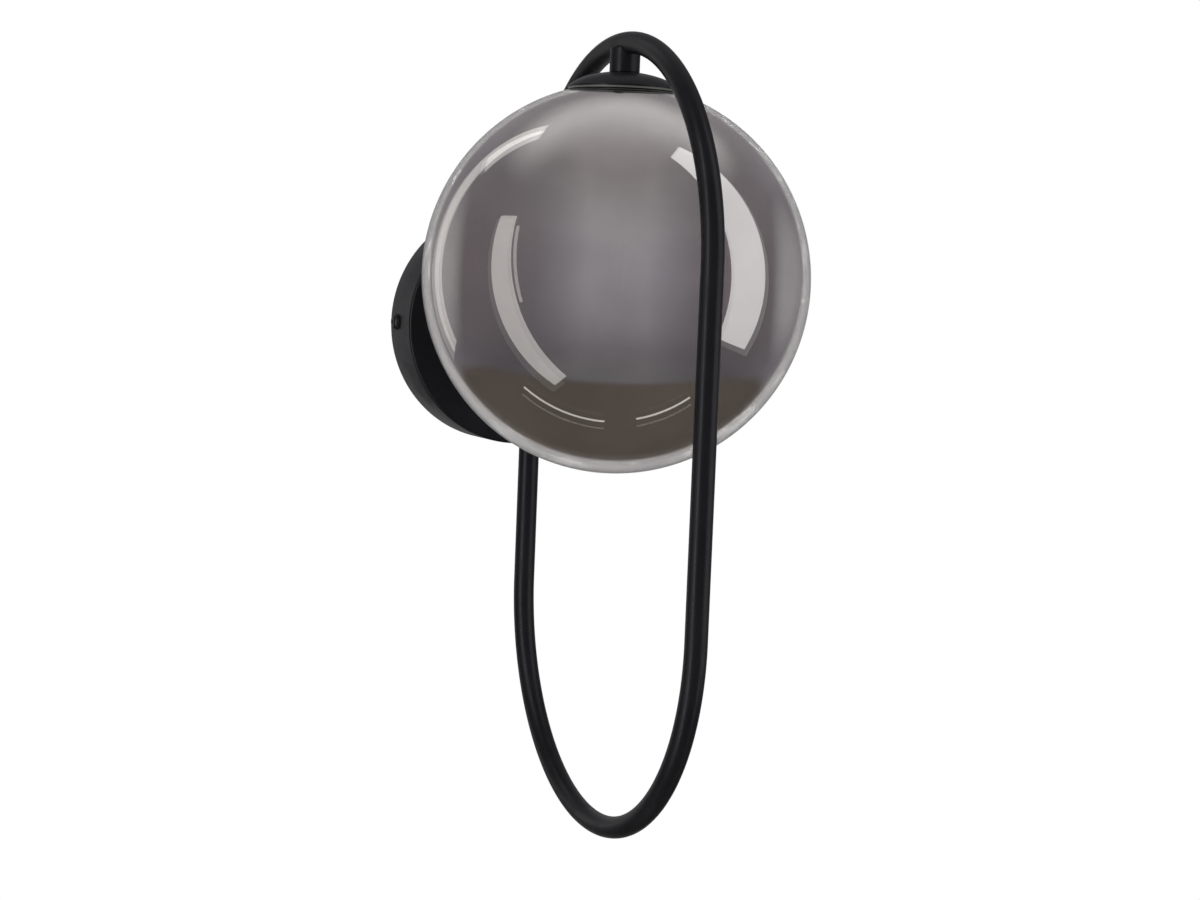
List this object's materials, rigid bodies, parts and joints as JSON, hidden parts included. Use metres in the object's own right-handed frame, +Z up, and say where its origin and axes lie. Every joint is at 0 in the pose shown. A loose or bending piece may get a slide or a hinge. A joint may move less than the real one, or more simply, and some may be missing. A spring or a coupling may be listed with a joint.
{
  "type": "globe wall sconce",
  "caption": "Wall sconce with a smoked glass globe hung from the top of an oblong black tube loop, which stands out from a round canopy and carries the wiring to a screw lamp holder.",
  "frame": {"origin": "on the wall, at the centre of the round canopy and of its bracket", "axes": "+Z up, +Y into the wall, -Y out into the room, +X to the right of someone facing the wall"},
  "size_m": [0.18, 0.2562, 0.3741],
  "materials": {
    "black_powder_coat": "satin",
    "black_screw": "satin",
    "smoked_glass": "gloss",
    "clear_glass": "gloss",
    "black_glass": "gloss",
    "zinc_plated_steel": "satin",
    "nickel": "gloss",
    "solder": "satin",
    "brass": "satin",
    "tinned_copper": "satin",
    "white_plastic": "matte",
    "black_plastic": "satin",
    "black_silicone": "matte",
    "grey_silicone": "satin",
    "brown_insulation": "satin",
    "blue_insulation": "satin",
    "green_yellow_insulation": "satin",
    "phosphor": "matte"
  },
  "bodies": {
    "sconce": {"wall_bracket": "zinc_plated_steel", "terminal_block": "white_plastic", "terminal_clamps": "brass", "terminal_clamp_screws": "zinc_plated_steel", "terminal_block_screws": "zinc_plated_steel", "earth_screw": "zinc_plated_steel", "earth_ring_terminals": "tinned_copper", "earth_wire": "green_yellow_insulation", "canopy": "black_powder_coat", "canopy_nipple": "zinc_plated_steel", "canopy_nut": "zinc_plated_steel", "canopy_lock_washer": "zinc_plated_steel", "nipple_bushings": "white_plastic", "standoff_sleeve": "black_powder_coat", "loop_tube": "black_powder_coat", "stem_sleeve": "black_powder_coat", "stem_nipple": "zinc_plated_steel", "live_wire": "brown_insulation", "neutral_wire": "blue_insulation", "dome_cap": "black_powder_coat", "cap_gasket": "grey_silicone", "holder_cover": "black_plastic", "holder_skirt": "black_plastic", "holder_core": "white_plastic", "holder_lugs": "brass", "holder_lug_screws": "zinc_plated_steel", "holder_rivets": "brass", "holder_screw_shell": "brass", "holder_centre_contact": "brass"},
    "globe": {"glass_globe": "smoked_glass", "glass_washer": "black_silicone"},
    "shade_ring": {"shade_ring": "black_plastic"},
    "lamp_tip": {"lamp_tip": "solder"},
    "lamp": {"lamp_bulb": "clear_glass", "lamp_cap": "nickel", "lamp_insulator": "black_glass", "lamp_stem": "clear_glass", "lamp_filaments": "phosphor"},
    "canopy_screw_left": {"canopy_screw_left": "black_screw"},
    "canopy_screw_right": {"canopy_screw_right": "black_screw"}
  },
  "joints": [
    {"name": "globe_lower", "type": "slide", "parent": "sconce", "child": "globe", "axis": [0, 0, -1], "range_m": [0, 0.01]},
    {"name": "shade_ring_turn", "type": "hinge", "parent": "globe", "child": "shade_ring", "pos_m": [0, -0.1491, 0.105], "axis": [0, 0, -1], "range_deg": [0, 1801]},
    {"name": "lamp_lower", "type": "slide", "parent": "sconce", "child": "lamp_tip", "axis": [0, 0, -1], "range_m": [0, 0.00847]},
    {"name": "lamp_turn", "type": "hinge", "parent": "lamp_tip", "child": "lamp", "pos_m": [0, -0.1491, 0.075], "axis": [0, 0, -1], "range_deg": [0, 1081]},
    {"name": "left_screw_out", "type": "slide", "parent": "sconce", "child": "canopy_screw_left", "axis": [-1, 0, 0], "range_m": [0, 0.006]},
    {"name": "right_screw_out", "type": "slide", "parent": "sconce", "child": "canopy_screw_right", "axis": [1, 0, 0], "range_m": [0, 0.006]}
  ],
  "couplings": [
    {"joint": "shade_ring_turn", "follows": "globe_lower", "rad_per_m": 3141.6},
    {"joint": "lamp_turn", "follows": "lamp_lower", "rad_per_m": 2226.5}
  ]
}
